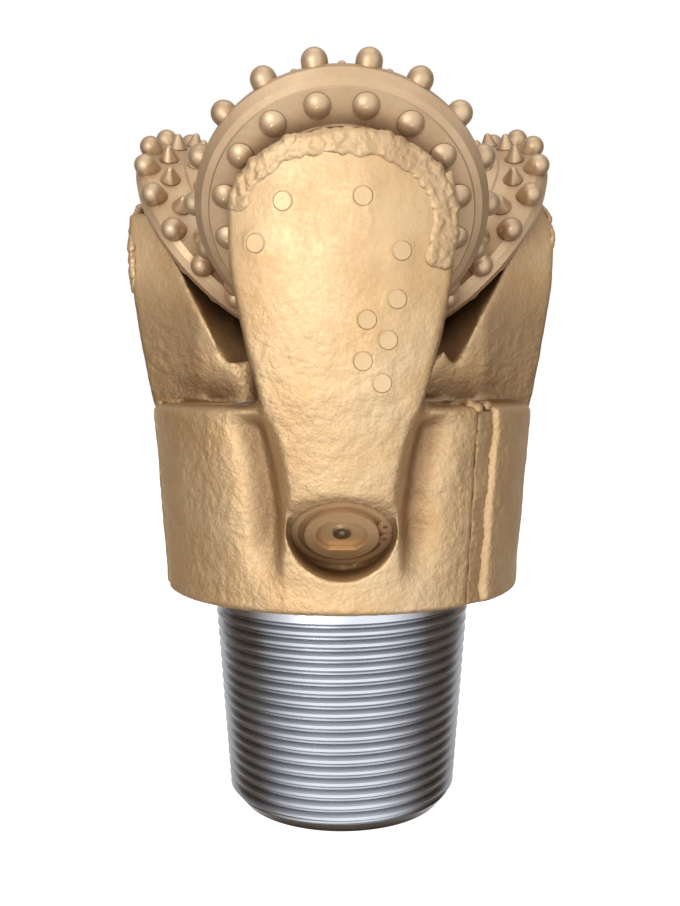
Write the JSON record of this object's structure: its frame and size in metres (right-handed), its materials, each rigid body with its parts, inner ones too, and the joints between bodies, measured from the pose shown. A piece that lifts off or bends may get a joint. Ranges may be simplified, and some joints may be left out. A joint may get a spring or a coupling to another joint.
{
  "type": "roller cone drill bit",
  "caption": "Rotary rock bit: three toothed rolling cones on sealed journal bearings, carried by welded legs above a tapered threaded pin.",
  "frame": {"origin": "centre of the pin shoulder face, on the bit axis", "axes": "+Z along the bit axis, from the threaded pin towards the cones; leg 1 faces -Y"},
  "size_m": [0.2656, 0.2479, 0.4094],
  "materials": {
    "painted_forging": "gold metallic paint over rough forged steel",
    "painted_cone_steel": "gold metallic paint over machined steel",
    "painted_carbide": "gold metallic paint, satin, over carbide",
    "hardfacing_weld": "gold paint over lumpy weld deposit",
    "machined_steel": "bright turned steel",
    "plated_steel": "satin",
    "bearing_steel": "polished",
    "bearing_bronze": "machined bronze",
    "bare_carbide": "sintered carbide, satin",
    "seal_rubber": "matt nitrile"
  },
  "bodies": {
    "bit_body": {"ball_plug_1": "painted_forging", "ball_plug_2": "painted_forging", "ball_plug_3": "painted_forging", "hardfacing_1": "hardfacing_weld", "hardfacing_2": "hardfacing_weld", "hardfacing_3": "hardfacing_weld", "leg_1": "painted_forging", "leg_2": "painted_forging", "leg_3": "painted_forging", "nozzle_1": "bare_carbide", "nozzle_2": "bare_carbide", "nozzle_3": "bare_carbide", "nozzle_o_rings": "seal_rubber", "nozzle_retaining_sleeves": "plated_steel", "pressure_diaphragm_1": "seal_rubber", "pressure_diaphragm_2": "seal_rubber", "pressure_diaphragm_3": "seal_rubber", "relief_valves": "plated_steel", "reservoir_canister_1": "plated_steel", "reservoir_canister_2": "plated_steel", "reservoir_canister_3": "plated_steel", "reservoir_cap_1": "painted_forging", "reservoir_cap_2": "painted_forging", "reservoir_cap_3": "painted_forging", "reservoir_snap_rings": "painted_forging", "retaining_balls_1": "bearing_steel", "retaining_balls_2": "bearing_steel", "retaining_balls_3": "bearing_steel", "seam_welds": "painted_forging", "shirttail_compacts_1": "painted_carbide", "shirttail_compacts_2": "painted_carbide", "shirttail_compacts_3": "painted_carbide", "threaded_pin": "machined_steel", "thrust_washer_1": "bearing_bronze", "thrust_washer_2": "bearing_bronze", "thrust_washer_3": "bearing_bronze"},
    "rolling_cone_1": {"cone_1": "painted_cone_steel", "gauge_inserts_1": "painted_carbide", "heel_inserts_1": "painted_carbide", "inner_inserts_1": "painted_carbide", "journal_bushing_1": "bearing_bronze", "journal_seal_1": "seal_rubber", "middle_inserts_1": "painted_carbide"},
    "rolling_cone_2": {"cone_2": "painted_cone_steel", "gauge_inserts_2": "painted_carbide", "heel_inserts_2": "painted_carbide", "inner_inserts_2": "painted_carbide", "journal_bushing_2": "bearing_bronze", "journal_seal_2": "seal_rubber", "middle_inserts_2": "painted_carbide"},
    "rolling_cone_3": {"cone_3": "painted_cone_steel", "gauge_inserts_3": "painted_carbide", "heel_inserts_3": "painted_carbide", "inner_inserts_3": "painted_carbide", "journal_bushing_3": "bearing_bronze", "journal_seal_3": "seal_rubber", "middle_inserts_3": "painted_carbide"}
  },
  "joints": [
    {"name": "cone_1_roll", "type": "hinge", "parent": "bit_body", "child": "rolling_cone_1", "pos_m": [0, -0.087, 0.2026], "axis": [0, -0.809, -0.5878], "continuous": true},
    {"name": "cone_2_roll", "type": "hinge", "parent": "bit_body", "child": "rolling_cone_2", "pos_m": [0.07534, 0.0435, 0.2026], "axis": [0.7006, 0.4045, -0.5878], "continuous": true},
    {"name": "cone_3_roll", "type": "hinge", "parent": "bit_body", "child": "rolling_cone_3", "pos_m": [-0.07534, 0.0435, 0.2026], "axis": [-0.7006, 0.4045, -0.5878], "continuous": true}
  ]
}
